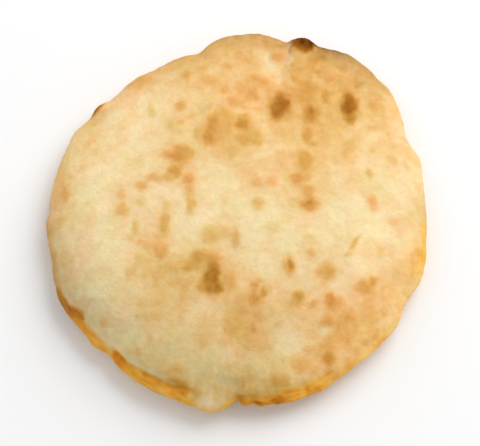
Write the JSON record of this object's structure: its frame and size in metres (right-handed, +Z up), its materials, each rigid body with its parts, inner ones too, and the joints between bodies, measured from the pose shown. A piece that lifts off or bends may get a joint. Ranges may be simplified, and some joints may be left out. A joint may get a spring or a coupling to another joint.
{
  "type": "round flatbread",
  "caption": "Round puffed flatbread lying flat: a low domed upper crust with browned blisters over a flat underside, with an uneven creased rim.",
  "frame": {"origin": "on the table, under the middle of the bread's outline", "axes": "+Z up out of the upper crust, -Y towards the near end of the picture, +X to its right"},
  "size_m": [0.1806, 0.1912, 0.0301],
  "materials": {
    "crust": "dry baked crust, cream with browned blisters"
  },
  "bodies": {
    "root": {"flatbread": "crust"}
  },
  "joints": []
}
